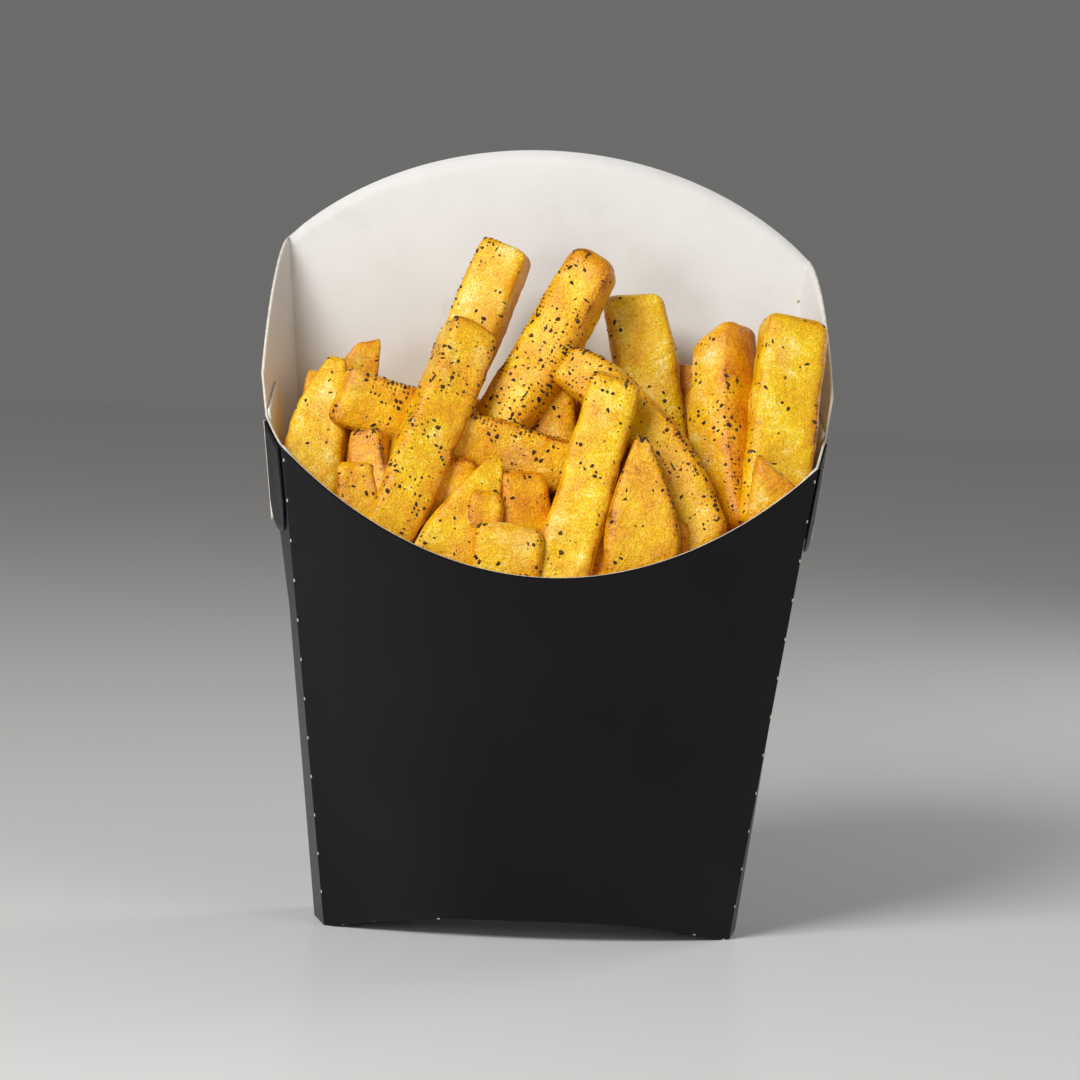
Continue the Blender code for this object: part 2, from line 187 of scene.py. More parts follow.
def add_studio():
    bm = bmesh.new()
    bmesh.ops.create_grid(bm, x_segments=1, y_segments=1, size=FLOOR_HALF_SIZE * MM)
    mesh = bpy.data.meshes.new("floor")
    bm.to_mesh(mesh)
    bm.free()
    floor = bpy.data.objects.new("floor", mesh)
    bpy.context.scene.collection.objects.link(floor)
    paint = bpy.data.materials.new("pale satin table top")
    paint.use_nodes = True
    shader = paint.node_tree.nodes["Principled BSDF"]
    shader.inputs["Base Color"].default_value = (0.86, 0.85, 0.84, 1.0)
    shader.inputs["Roughness"].default_value = 0.28
    mesh.materials.append(paint)
    world = bpy.data.worlds.new("soft surroundings")
    world.use_nodes = True
    world.node_tree.nodes["Background"].inputs["Color"].default_value = (0.15, 0.148, 0.146, 1.0)
    bpy.context.scene.world = world
    add_area_light("key", (-520, -640, 720), (0, 0, 110), 420, KEY_WATTS)
    add_area_light("fill", (620, -520, 420), (0, 0, 90), 600, FILL_WATTS)
    add_area_light("side", (560, 420, 320), (40, 0, 90), 260, SIDE_WATTS)
    add_area_light("sheen", (-430, -600, 150), (-20, -30, 110), 200, SHEEN_WATTS)


add_studio()
bpy.context.scene.view_settings.view_transform = "Standard"

# %% [markdown]
# ## One helper for nodes and one for colours
# Every finish below is a small node tree. One function adds a node with its settings, its values
# and its links, so a material reads as a list of steps. Colours are written as the sRGB hex codes
# that a designer would note down, and one function turns them into the linear values that a
# renderer computes with.

# %% Colour and node helpers
def linear(hex_colour):
    """A linear RGBA colour from an sRGB hex code."""
    channels = [int(hex_colour[i:i + 2], 16) / 255.0 for i in (1, 3, 5)]
    return tuple(c / 12.92 if c <= 0.04045 else ((c + 0.055) / 1.055) ** 2.4 for c in channels) + (1.0,)


def add_node(tree, kind, values=None, links=None, stops=(), **settings):
    """A node with its settings, socket values, links and, on a ramp, (position, hex) stops."""
    node = tree.nodes.new(kind)
    for name, value in settings.items():
        setattr(node, name, value)
    for socket, value in (values or {}).items():
        node.inputs[socket].default_value = value
    for socket, source in (links or {}).items():
        tree.links.new(source, node.inputs[socket])
    if stops:
        elements = node.color_ramp.elements
        while len(elements) < len(stops):
            elements.new(0.5)
        for element, (position, colour) in zip(elements, stops):
            element.position = position
            element.color = linear(colour)
    return node


def new_material(name):
    """A material, its node tree, its Principled shader, and the place of a point on its object."""
    material = bpy.data.materials.new(name)
    material.use_nodes = True
    tree = material.node_tree
    place = add_node(tree, "ShaderNodeTexCoord").outputs["Object"]
    return material, tree, tree.nodes["Principled BSDF"], place


# %% [markdown]
# ## Outside of the board: satin black coating on paperboard
# The blank is printed solid black and coated, so it is dark with a soft satin sheen, and the
# sheen breaks up a little where the fibres below it show. The perforated creases leave a row of
# tiny nicks where white board shows. They follow the folds, so they are placed by the sheet's own
# attributes: how far a point is from a crease, and how far along it.

# %% Satin black coated board
PERFORATION_STEP_MM = 8.3
PERFORATION_LENGTH_MM = 0.6
CREASE_WIDTH_MM = 0.26
FIBRE_GRAIN_MM = 0.6            # real fibres are finer, this is as coarse as the render can show
PANEL_WAVE_MM = 28.0
CREASE_PHASE = 0.15             # where the nicks begin along the upright creases and the hem
HEM_PHASE = 0.4
FOLD_LAYERS = ("crease_gap", "crease_run", "hem_gap", "hem_run")


def nick_mask(tree, gap, run, phase):
    """White where a point is on a crease line and inside one of its regular nicks."""
    on_line = add_node(tree, "ShaderNodeMath", {1: CREASE_WIDTH_MM}, {0: gap}, operation="LESS_THAN")
    steps = add_node(tree, "ShaderNodeMath", {1: 1.0 / PERFORATION_STEP_MM, 2: phase}, {0: run},
                     operation="MULTIPLY_ADD")
    part = add_node(tree, "ShaderNodeMath", links={0: steps.outputs[0]}, operation="FRACT")
    in_nick = add_node(tree, "ShaderNodeMath", {1: PERFORATION_LENGTH_MM / PERFORATION_STEP_MM},
                       {0: part.outputs[0]}, operation="LESS_THAN")
    both = add_node(tree, "ShaderNodeMath", links={0: on_line.outputs[0], 1: in_nick.outputs[0]},
                    operation="MULTIPLY")
    return both.outputs[0]


def black_coated_board():
    material, tree, shader, place = new_material("satin black coated paperboard")
    gap, height, hem, girth = [add_node(tree, "ShaderNodeAttribute", attribute_name=name).outputs["Fac"]
                               for name in FOLD_LAYERS]
    nicks = add_node(tree, "ShaderNodeMath",
                     links={0: nick_mask(tree, gap, height, CREASE_PHASE),
                            1: nick_mask(tree, hem, girth, HEM_PHASE)},
                     operation="MAXIMUM")
    cloud = add_node(tree, "ShaderNodeTexNoise", {"Scale": 1.0 / (PANEL_WAVE_MM * MM), "Detail": 3.0},
                     {"Vector": place})
    black = add_node(tree, "ShaderNodeValToRGB", links={"Fac": cloud.outputs["Fac"]},
                     stops=[(0.3, "#0B0A0B"), (0.7, "#100F11")])
    worn = add_node(tree, "ShaderNodeMix", {"B": linear("#B9B2A6")},
                    {"Factor": nicks.outputs[0], "A": black.outputs["Color"]}, data_type="RGBA")
    tree.links.new(worn.outputs["Result"], shader.inputs["Base Color"])
    grain = add_node(tree, "ShaderNodeTexNoise", {"Scale": 1.0 / (FIBRE_GRAIN_MM * MM), "Detail": 4.0},
                     {"Vector": place})
    rough = add_node(tree, "ShaderNodeMapRange", {"To Min": 0.30, "To Max": 0.43},
                     {"Value": grain.outputs["Fac"]})
    tree.links.new(rough.outputs["Result"], shader.inputs["Roughness"])
    fine = add_node(tree, "ShaderNodeBump", {"Strength": 0.10, "Distance": 0.05 * MM},
                    {"Height": grain.outputs["Fac"]})
    wave = add_node(tree, "ShaderNodeBump", {"Strength": 0.35, "Distance": 0.5 * MM},
                    {"Height": cloud.outputs["Fac"], "Normal": fine.outputs["Normal"]})
    tree.links.new(wave.outputs["Normal"], shader.inputs["Normal"])
    shader.inputs["Specular IOR Level"].default_value = 0.16
    return material


BLACK_BOARD = black_coated_board()
print("made", BLACK_BOARD.name)

# %% [markdown]
# ## Inside of the board: white and slightly used
# The inner face is plain white board. It is matt, a touch warm, and it has taken a few marks from
# the food: faint grey smudges and tiny brown specks. Low down by the fries it turns warmer, partly
# from oil and partly as painted warm shade from the fries around it.

# %% White inner board
SMUDGE_MM = 14.0
SPECK_CELL_MM = 7.0
OIL_AND_SHADE_TOP_Z = 128.0
OIL_AND_SHADE_FADE_MM = 34.0
OIL_AND_SHADE_SHARE = 0.60
BARE_CELLS = 0.86               # share of the cells that hold no speck
SPECK_RADIUS = 0.05             # as a share of a cell
PULP_MM = 1.5


def white_inner_board():
    material, tree, shader, place = new_material("white board, food side")
    smudge = add_node(tree, "ShaderNodeTexNoise",
                      {"Scale": 1.0 / (SMUDGE_MM * MM), "Detail": 5.0, "Roughness": 0.62}, {"Vector": place})
    base = add_node(tree, "ShaderNodeValToRGB", links={"Fac": smudge.outputs["Fac"]},
                    stops=[(0.28, "#D0CDC8"), (0.42, "#D8D6D2"), (0.75, "#DDDBD8")])
    # Warmer towards the bottom, by the fries: partly oil, partly painted warm shade.
    height = add_node(tree, "ShaderNodeSeparateXYZ", links={"Vector": place})
    low = add_node(tree, "ShaderNodeMapRange",
                   {"From Min": OIL_AND_SHADE_TOP_Z * MM, "From Max": (OIL_AND_SHADE_TOP_Z - OIL_AND_SHADE_FADE_MM) * MM},
                   {"Value": height.outputs["Z"]})
    oil_and_shade = add_node(tree, "ShaderNodeMath", {1: OIL_AND_SHADE_SHARE}, {0: low.outputs["Result"]}, operation="MULTIPLY")
    warm = add_node(tree, "ShaderNodeMix", {"B": linear("#DFD0B4")},
                    {"Factor": oil_and_shade.outputs[0], "A": base.outputs["Color"]}, data_type="RGBA")
    cells = add_node(tree, "ShaderNodeTexVoronoi", {"Scale": 1.0 / (SPECK_CELL_MM * MM)}, {"Vector": place})
    pick = add_node(tree, "ShaderNodeSeparateColor", links={"Color": cells.outputs["Color"]})
    chosen = add_node(tree, "ShaderNodeMath", {1: BARE_CELLS}, {0: pick.outputs["Red"]},
                      operation="GREATER_THAN")
    small = add_node(tree, "ShaderNodeMath", {1: SPECK_RADIUS}, {0: cells.outputs["Distance"]},
                     operation="LESS_THAN")
    speck = add_node(tree, "ShaderNodeMath", links={0: chosen.outputs[0], 1: small.outputs[0]},
                     operation="MULTIPLY")
    speckled = add_node(tree, "ShaderNodeMix", {"B": linear("#A8865A")},
                        {"Factor": speck.outputs[0], "A": warm.outputs["Result"]}, data_type="RGBA")
    tree.links.new(speckled.outputs["Result"], shader.inputs["Base Color"])
    grain = add_node(tree, "ShaderNodeTexNoise", {"Scale": 1.0 / (FIBRE_GRAIN_MM * MM), "Detail": 3.0},
                     {"Vector": place})
    fibre = add_node(tree, "ShaderNodeBump", {"Strength": 0.12, "Distance": 0.06 * MM},
                     {"Height": grain.outputs["Fac"]})
    tree.links.new(fibre.outputs["Normal"], shader.inputs["Normal"])
    shader.inputs["Roughness"].default_value = 0.72
    return material


WHITE_BOARD = white_inner_board()


def cut_board_edge():
    """Die-cut edge: the pale, slightly grey middle of the board, fibrous and matt."""
    material, tree, shader, place = new_material("die-cut board edge")
    fibre = add_node(tree, "ShaderNodeTexNoise", {"Scale": 1.0 / (PULP_MM * MM), "Detail": 3.0},
                     {"Vector": place})
    pulp = add_node(tree, "ShaderNodeValToRGB", links={"Fac": fibre.outputs["Fac"]},
                    stops=[(0.3, "#C9BFAF"), (0.7, "#E6DFD2")])
    tree.links.new(pulp.outputs["Color"], shader.inputs["Base Color"])
    shader.inputs["Roughness"].default_value = 0.85
    return material


BOARD_EDGE = cut_board_edge()
print("made", WHITE_BOARD.name, "and", BOARD_EDGE.name)

# %% [markdown]
# ## Folding the carton
# A real carton is a flat sheet that is wrapped round and glued. It is made the same way here: a
# flat grid is created, then each of its points is moved to its place on the folded wall, and the
# first column meets the last. The same is done for the bottom panel. Columns fall exactly on the
# creases, so the folds stay sharp while the panels between them curve.

# %% Section of the folded wall
PANEL_COLUMNS = 52
FRONT_FACET_COLUMNS = 10
BACK_FACET_COLUMNS = 16
ROWS_BELOW_TAB = 30
ROWS_AT_STEP = 3
ROWS_ABOVE_TAB = 22
JOG_SHARE = 0.05
PANEL_DENT = 0.35               # how far handling has pushed the panels in


def panel_point(across, z, facing):
    """A point of the front (-1) or back (1) panel, across being -1..1."""
    half = front_half(z) if facing < 0 else back_half(z)
    depth = crease_depth(z) + panel_bow(z) * (1.0 - across * across)
    wave = 0.5 + 0.5 * noise.noise(Vector((across * 2.2, z / 38.0, facing * 3.0)))
    depth -= PANEL_DENT * wave * (1.0 - across ** 4)
    return Vector((across * half, facing * depth + MIDDLE_Y, z))


def side_point(along, z, facing, ridge_past=None):
    """A point of a side wall: along is 0 at the front crease, 1 at the ridge, 2 at the back."""
    ridge_past = ridge_out(z) if ridge_past is None else ridge_past
    if along <= 1.0:
        x = front_half(z) + ridge_past * along
        y = -crease_depth(z) * (1.0 - along)
    else:
        ridge = front_half(z) + ridge_past
        x = ridge + (back_half(z) - ridge) * (along - 1.0)
        y = crease_depth(z) * (along - 1.0)
    return Vector((facing * x, y + MIDDLE_Y, z))


def arc_drop(across, half_width, sagitta):
    """How far an arc of that chord and sagitta lies from its crown, at a place across it."""
    radius = (half_width ** 2 + sagitta ** 2) / (2.0 * sagitta)
    return radius - math.sqrt(radius ** 2 - (across * half_width) ** 2)


def side_rim_z(along):
    """Free edge of the side wall: front flap, jog, then the back flap's rising curve."""
    if along <= 1.0:
        return FRONT_CORNER_Z + (TUCK_RIDGE_Z - FRONT_CORNER_Z) * along ** FRONT_EDGE_POWER
    return BACK_CORNER_Z - (BACK_CORNER_Z - FLAP_RIDGE_Z) * (2.0 - along) ** FLAP_EDGE_POWER


def base_z(across):
    inner = min(1.0, abs(across) / BASE_FLAT)
    return BASE_RISE * (1.0 - inner ** BASE_RISE_POWER)


def panel_positions():
    """Positions across a panel, with a column where the base's flat ends begin."""
    even = PANEL_COLUMNS - 2
    return [-1.0] + [BASE_FLAT * (2.0 * i / even - 1.0) for i in range(even + 1)] + [1.0]


def side_positions():
    front = [i / FRONT_FACET_COLUMNS for i in range(FRONT_FACET_COLUMNS + 1)]
    span = 1.0 - JOG_SHARE
    back = [1.0 + JOG_SHARE + span * i / (BACK_FACET_COLUMNS - 1) for i in range(BACK_FACET_COLUMNS)]
    return front + back


def wall_columns():
    """Once round the wall: (point function, position, facing, bottom height, top height)."""
    front_sagitta = FRONT_CORNER_Z - FRONT_LOW_Z
    back_sagitta = BACK_TOP_Z - BACK_CORNER_Z
    columns = []
    for a in panel_positions():
        rim = FRONT_LOW_Z + arc_drop(a, RIM_HALF_WIDTH, front_sagitta)
        columns.append((panel_point, a, -1, base_z(a), rim))
    for a in side_positions()[1:-1]:
        columns.append((side_point, a, 1, 0.0, side_rim_z(a)))
    for a in reversed(panel_positions()):
        rim = BACK_TOP_Z - arc_drop(a, BACK_HALF_WIDTH, back_sagitta)
        columns.append((panel_point, a, 1, base_z(a), rim))
    for a in reversed(side_positions()[1:-1]):
        columns.append((side_point, a, -1, 0.0, side_rim_z(a)))
    return columns


def column_heights(bottom, top):
    """Heights of one column's points, with extra rows where the side tabs step out."""
    low = min(TAB_BOTTOM_Z, TAB_BOTTOM_Z * top / FRONT_CORNER_Z)
    high = low + TAB_STEP
    heights = [bottom + (low - bottom) * i / ROWS_BELOW_TAB for i in range(ROWS_BELOW_TAB)]
    heights += [low + TAB_STEP * i / ROWS_AT_STEP for i in range(ROWS_AT_STEP)]
    return heights + [high + (top - high) * i / ROWS_ABOVE_TAB for i in range(ROWS_ABOVE_TAB + 1)]


print("columns round the wall:", len(wall_columns()), "rows:", len(column_heights(0.0, 100.0)))

# %% Fold the wall and the bottom
CREASES = [0, PANEL_COLUMNS, PANEL_COLUMNS + FRONT_FACET_COLUMNS + BACK_FACET_COLUMNS,
           2 * PANEL_COLUMNS + FRONT_FACET_COLUMNS + BACK_FACET_COLUMNS]
NO_NICK_GAP = 10.0              # marks points of sheets that have no perforated crease


def grid_index(vert, columns, rows):
    """Column and row of a point of a fresh one-by-one grid."""
    return round((vert.co.x + 0.5) * columns), round((vert.co.y + 0.5) * rows)


def add_wall(bm, layers):
    """The wall: a flat grid wrapped round until its first column meets its last."""
    columns = wall_columns()
    rows = len(column_heights(0.0, 100.0)) - 1
    count = len(columns)
    made = bmesh.ops.create_grid(bm, x_segments=count, y_segments=rows, size=0.5)["verts"]
    girth = [0.0]
    for i in range(count):
        shape, a, facing, _, _ = columns[i]
        next_shape, next_a, next_facing, _, _ = columns[(i + 1) % count]
        step = shape(a, TAB_BOTTOM_Z, facing) - next_shape(next_a, TAB_BOTTOM_Z, next_facing)
        girth.append(girth[-1] + step.length)
    crease_girths = [girth[c] for c in CREASES] + [girth[count]]
    for vert in made:
        column, row = grid_index(vert, count, rows)
        shape, a, facing, bottom, top = columns[column % count]
        z = column_heights(bottom, top)[row]
        vert.co = shape(a, z, facing) * MM
        vert[layers["crease_gap"]] = min(abs(girth[column] - g) for g in crease_girths)
        vert[layers["crease_run"]] = z
        vert[layers["hem_gap"]] = z - bottom
        vert[layers["hem_run"]] = girth[column]


def add_bottom(bm, layers):
    """The bottom panel: a grid between the front and back base edges, arched upwards."""
    sides = side_positions()
    across = panel_positions()
    rows = len(sides) - 1
    made = bmesh.ops.create_grid(bm, x_segments=PANEL_COLUMNS, y_segments=rows, size=0.5)["verts"]
    for vert in made:
        column, row = grid_index(vert, PANEL_COLUMNS, rows)
        a = across[column]
        side = side_point(sides[row], 0.0, 1)
        back_share = share(side.y - MIDDLE_Y, -BASE_HALF_DEPTH, BASE_HALF_DEPTH)
        point = panel_point(a, base_z(a), -1).lerp(panel_point(a, base_z(a), 1), back_share)
        if abs(a) == 1.0:
            point = side_point(sides[row], 0.0, a)
        elif 0 < row < rows:
            point.x = a * side.x
            lift = 1.0 - min(1.0, abs(a) / BASE_FLAT) ** BASE_RISE_POWER
            point.z += BOTTOM_ARCH * 4.0 * back_share * (1.0 - back_share) * lift
        vert.co = point * MM
        vert[layers["crease_gap"]] = NO_NICK_GAP
        vert[layers["hem_gap"]] = NO_NICK_GAP


LAP_GAP = 0.12                  # between overlapping flaps
FRONT_TAB = (0.14, 0.96)        # reach of the front flap's free tab along the side wall
FRONT_TAB_Z = 83.0
BACK_TAB = (0.99, 1.75)         # reach of the back flap's free tab, whose front edge shows pale
BACK_TAB_Z = 84.5
TUCKED_FLAP = (1.0, 1.32)       # reach of the flap tucked inside, and the heights of its top edge
TUCKED_FLAP_Z = (92.0, 107.6, 113.4)
LAP_COLUMNS = 16
LAP_ROWS = 20
TAB_CORNER = 7.0


def over_wall_point(along, z, facing):
    """A point of a tab that stands off the side wall, at least a board's thickness."""
    wall = side_point(along, z, facing)
    point = side_point(along, z, facing, TAB_RIDGE)
    point.x = facing * max(abs(point.x), abs(wall.x) + BOARD + LAP_GAP)
    return point


def rounded_end_z(along, reach, low):
    """Height of a tab's rounded lower end."""
    middle = (reach[0] + reach[1]) / 2.0
    return low + arc_drop((along - middle) / (reach[1] - middle), TAB_CORNER, TAB_CORNER * 0.8)


def front_tab_point(along, part, facing):
    low = rounded_end_z(along, FRONT_TAB, FRONT_TAB_Z)
    return over_wall_point(along, low + (side_rim_z(along) - 0.6 - low) * part, facing)


def back_tab_point(along, part, facing):
    low = rounded_end_z(along, (2.0 * BACK_TAB[0] - BACK_TAB[1], BACK_TAB[1]), BACK_TAB_Z)
    return over_wall_point(along, low + (TAB_TOP_Z - 0.2 - low) * part, facing)


def tucked_flap_point(along, part, facing):
    """The tucked flap lies against the inside of the wall, and its top edge slopes."""
    low, ridge_top, back_top = TUCKED_FLAP_Z
    high = ridge_top + (back_top - ridge_top) * share(along, *TUCKED_FLAP)
    point = side_point(along, low + (high - low) * part, facing)
    point.x -= facing * (BOARD + LAP_GAP)
    return point


def add_lap(bm, layers, facing, reach, lap_point, slot):
    """A flap that lies over or under the side wall near its ridge."""
    made = bmesh.ops.create_grid(bm, x_segments=LAP_COLUMNS, y_segments=LAP_ROWS, size=0.5)["verts"]
    for vert in made:
        column, row = grid_index(vert, LAP_COLUMNS, LAP_ROWS)
        along = reach[0] + (reach[1] - reach[0]) * column / LAP_COLUMNS
        vert.co = lap_point(along, row / LAP_ROWS, facing) * MM
        vert[layers["crease_gap"]] = NO_NICK_GAP
        vert[layers["hem_gap"]] = NO_NICK_GAP
    faces = list({face for vert in made for face in vert.link_faces})
    for face in faces:
        face.material_index = slot
    if facing < 0:
        bmesh.ops.reverse_faces(bm, faces=faces)


# The board's outside, inside and edge take three slots in a row: first with a pale cut edge, then
# with an edge that the black coating has wrapped.
CUT_EDGE_SLOT = 0
COATED_EDGE_SLOT = 3


def build_scoop_carton():
    bm = bmesh.new()
    layers = {name: bm.verts.layers.float.new(name) for name in FOLD_LAYERS}
    add_wall(bm, layers)
    add_bottom(bm, layers)
    bmesh.ops.remove_doubles(bm, verts=bm.verts, dist=0.002 * MM)
    bmesh.ops.recalc_face_normals(bm, faces=bm.faces)
    for facing in (-1, 1):
        add_lap(bm, layers, facing, FRONT_TAB, front_tab_point, COATED_EDGE_SLOT)
        add_lap(bm, layers, facing, BACK_TAB, back_tab_point, CUT_EDGE_SLOT)
        add_lap(bm, layers, facing, TUCKED_FLAP, tucked_flap_point, CUT_EDGE_SLOT)
    mesh = bpy.data.meshes.new("scoop_carton")
    bm.to_mesh(mesh)
    bm.free()
    mesh.shade_smooth()
    mesh.set_sharp_from_angle(angle=math.radians(20.0))
    for material in (BLACK_BOARD, WHITE_BOARD, BOARD_EDGE, BLACK_BOARD, WHITE_BOARD, BLACK_BOARD):
        mesh.materials.append(material)
    carton = bpy.data.objects.new("scoop_carton", mesh)
    bpy.context.scene.collection.objects.link(carton)
    board = carton.modifiers.new("board thickness", "SOLIDIFY")
    board.thickness = BOARD * MM
    board.offset = -1.0
    board.use_even_offset = True
    board.material_offset = 1
    board.material_offset_rim = 2
    return carton


scoop_carton = build_scoop_carton()
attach(scoop_carton, "root")
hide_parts("carton")
print("scoop carton faces:", len(scoop_carton.data.polygons))

# %% [markdown]
# ## Fries
# Each fry is a bar cut from a potato by a grid of blades: a rounded rectangle in section, flat or
# slanted at the ends, sometimes a wedge from the rim of the potato. Frying dries the faces so that
# they sink a little between the edges, and the edges and ends brown first. So each fry is made
# as a divided block, rounded, tapered, bent to its place, then given skin relief that grows out
# of the same numbers as its browning. The list below says where the ends of each fry are, as seen
# by the eye point the heap was laid out from, in millimetres, and how toasted each side is.

# %% Fries that show
HEAP_EYE = Vector((0.0, -717.0, 138.0))
TAPER_LENGTH = 0.7
TIP_THICKNESS = 0.35

# top x, z, depth; foot x, z, depth; width, thickness; turn; bow; tip share;
# toast of the front, the right side, the edges and the top end; flecks on it.
# The right side is toasted more than the front on every fry: partly browning, partly painted shade
# on the side turned away from the key light. wedge_right and the shaded_ fries are toasted
# deeper, partly as painted shade for the shadow they lie in.
FRIES = {
    "tall_left": (-9.5, 143.5, 14, -25, 102, 8, 11.6, 10.0, 15, 0.0, 0.98, 0.28, 0.48, 0.38, 0.40, 60),
    "long_left": (-17, 126, 0, -36, 78, -18, 11.8, 10.5, -8, 0.6, 0.95, 0.42, 0.56, 0.55, 0.40, 110),
    "tall_round": (9.5, 142, 9, -14, 99, 0, 13.0, 11.5, 20, 0.8, 0.86, 0.42, 0.60, 0.40, 0.74, 150),
    "pale_back": (17.6, 134.5, 20, 25, 98, 15, 14.2, 9.0, 0, 0.5, 0.95, 0.28, 0.40, 0.34, 0.34, 50),
    "long_curved": (2.5, 120, 2, 35, 80, -15, 11.5, 11.0, 0, 6.0, 0.90, 0.50, 0.60, 0.42, 0.55, 130),
    "front_centre": (14, 116.5, -11, 2, 68, -20.5, 12.0, 11.0, 5, 0.0, 0.92, 0.34, 0.62, 0.55, 0.40, 60),
    "wedge_right": (19.5, 104.5, -17, 21, 70, -21, 15.5, 9.5, 0, 0.0, 0.12, 0.58, 0.68, 0.50, 0.50, 45),
    "wedge_left": (-11, 99.5, -13, -26, 71, -20, 13.5, 9.5, 0, 1.0, 0.15, 0.38, 0.48, 0.48, 0.45, 22),
    "front_chunk": (-7.8, 84.5, -20, -8.5, 64, -20.5, 15.6, 11.0, 4, 0.0, 0.88, 0.40, 0.50, 0.55, 0.36, 24),
    "left_pale": (-44.5, 118.0, 6, -50.0, 87, -5, 13.0, 10.0, 10, -1.0, 0.30, 0.38, 0.48, 0.40, 0.45, 16),
    "ochre_level": (-44, 111.5, -1, -16, 103, 3, 13.4, 11.0, 0, 0.0, 0.96, 0.46, 0.56, 0.45, 0.50, 75),
    "orange_tip": (-37.5, 123.0, 15, -45, 100, 8, 11.0, 8.5, 0, 0.0, 0.35, 0.54, 0.66, 0.50, 0.58, 12),
    "brown_edged": (-38, 103.5, -9, -35.5, 80, -15, 9.5, 9.0, 20, 0.0, 0.70, 0.54, 0.70, 0.70, 0.52, 20),
    "shaded_level": (-20, 104, -4, 8, 97, -3, 12.0, 10.0, 0, 0.0, 0.92, 0.48, 0.58, 0.50, 0.50, 70),
    "orange_short": (-6, 95.5, -11, -4, 74, -15, 12.0, 10.0, -15, 0.0, 0.80, 0.55, 0.66, 0.50, 0.52, 16),
    "shaded_middle": (1, 114, 6, 3, 92, 2, 10.5, 10.0, 0, 0.0, 0.80, 0.52, 0.60, 0.45, 0.52, 20),
    "right_orange": (38, 129, 13, 42, 84, -6, 13.4, 12.6, 44, -2.0, 0.90, 0.30, 0.68, 0.30, 0.60, 80),
    "right_end": (51.8, 130.5, 5, 47.9, 86, -8, 14.8, 10.5, -8, 0.0, 0.94, 0.36, 0.60, 0.50, 0.42, 34),
    "right_tip": (49.0, 101.0, -15, 47.5, 80, -17, 10.8, 8.5, 0, 0.0, 0.80, 0.46, 0.56, 0.40, 0.48, 6),
    "shaded_right": (29, 119.5, 22, 28, 98, 18, 9.0, 8.5, 0, 0.0, 0.80, 0.66, 0.72, 0.50, 0.60, 6),
    "brown_left": (-49.0, 115.0, 13, -49.0, 95, 8, 6.5, 6.5, 0, 0.0, 0.45, 0.62, 0.68, 0.50, 0.60, 4),
    "shaded_left": (-41, 96, -13, -38, 76, -17, 9.5, 9.0, 0, 0.0, 0.80, 0.52, 0.60, 0.50, 0.52, 12),
    "shaded_front": (-13, 91, -17, -14, 74, -18, 8.0, 8.0, 0, 0.0, 0.80, 0.54, 0.60, 0.50, 0.52, 8),
    "shaded_gap": (12, 88, -14, 12, 70, -17, 9.0, 9.0, 0, 0.0, 0.80, 0.58, 0.64, 0.50, 0.54, 10),
}

# %% Fries behind those, seen from above or from the side: x and depth of the top, and its height
HIDDEN_TOPS = [
    (-43, 19, 107), (-30, 24, 111), (-29, 9, 110), (-14, 25, 112), (-4, 18, 113), (7, 26, 118),
    (12, 12, 113), (27, 6, 106), (33, 23, 115), (43, 16, 113), (-20, -6, 100), (30, -6, 99),
    (39, -13, 86), (-47, 2, 99), (-37, 13, 106), (21, 17, 112), (-20, 14, 108), (1, 8, 106),
    (20, -3, 103), (45, 4, 106), (-8, -8, 94), (27, -14, 90), (-37, -1, 100), (-27, -12, 86),
    (17, 27, 111), (-22, 3, 104),
]
HIDDEN_SEED = 11
HIDDEN_WIDTHS = (10.5, 13.0)
HIDDEN_LEAN = 7.0
HIDDEN_LENGTH = 30.0


def seen_at(x, z, depth):
    """The point at a depth that the layout's eye sees at x, z on the upright middle plane."""
    on_plane = Vector((x, 0.0, z))
    return HEAP_EYE + (on_plane - HEAP_EYE) * (1.0 + depth / -HEAP_EYE.y)


def fry_frame(top, foot, turn_degrees):
    """A fry's directions: its axis, the way across the view, and its section's two ways."""
    axis = (foot - top).normalized()
    across = axis.cross(top - HEAP_EYE).normalized()
    deep = axis.cross(across)
    turn = math.radians(turn_degrees)
    wide_way = across * math.cos(turn) + deep * math.sin(turn)
    thick_way = deep * math.cos(turn) - across * math.sin(turn)
    return axis, across, wide_way, thick_way


# %% [markdown]
# ### From a block to a fry
# The block is divided more finely where it turns a corner. Its corner radius, its sunken faces and
# its bumps are added in the fry's own straight shape, before it is tapered and bent, so they
# follow the cut faces. The alternative, a displacement modifier over the whole heap, would not
# know which edge belongs to which fry. Toast is kept with each point, for the skin's colour.

# %% Shape of one fry
CORNER_SHARE = 0.22             # corner radius as a share of a fry's thickness
# Fries cut from the rim of the potato, or fried softer, are rounder
ROUNDER = {"tall_round": 0.38, "long_curved": 0.29, "right_end": 0.28, "right_orange": 0.34,
           "pale_back": 0.33}
FACE_SINK = 0.22                # how far a dried face sinks between its edges
BULGE = 0.80                    # slow unevenness of the cut
BULGE_SHIFT = 0.12              # keeps the mean of the skin on the plain cut
BULGE_MM = 10.0
END_PROUD_MM = 1.2              # rounding takes this off an end, so it is added first
WRINKLE = 0.20                  # skin wrinkles
WRINKLE_MM = 2.6
SLANT_REACH_MM = 14.0           # length over which a slanted end fades into the straight bar
# Ends that are cut at a slant: above 0 the right side is shorter, below 0 the left side
SLANTS = {"pale_back": 0.10, "right_orange": -0.30, "orange_tip": -0.25, "front_centre": 0.08,
          "long_curved": -0.2, "right_tip": 0.6}
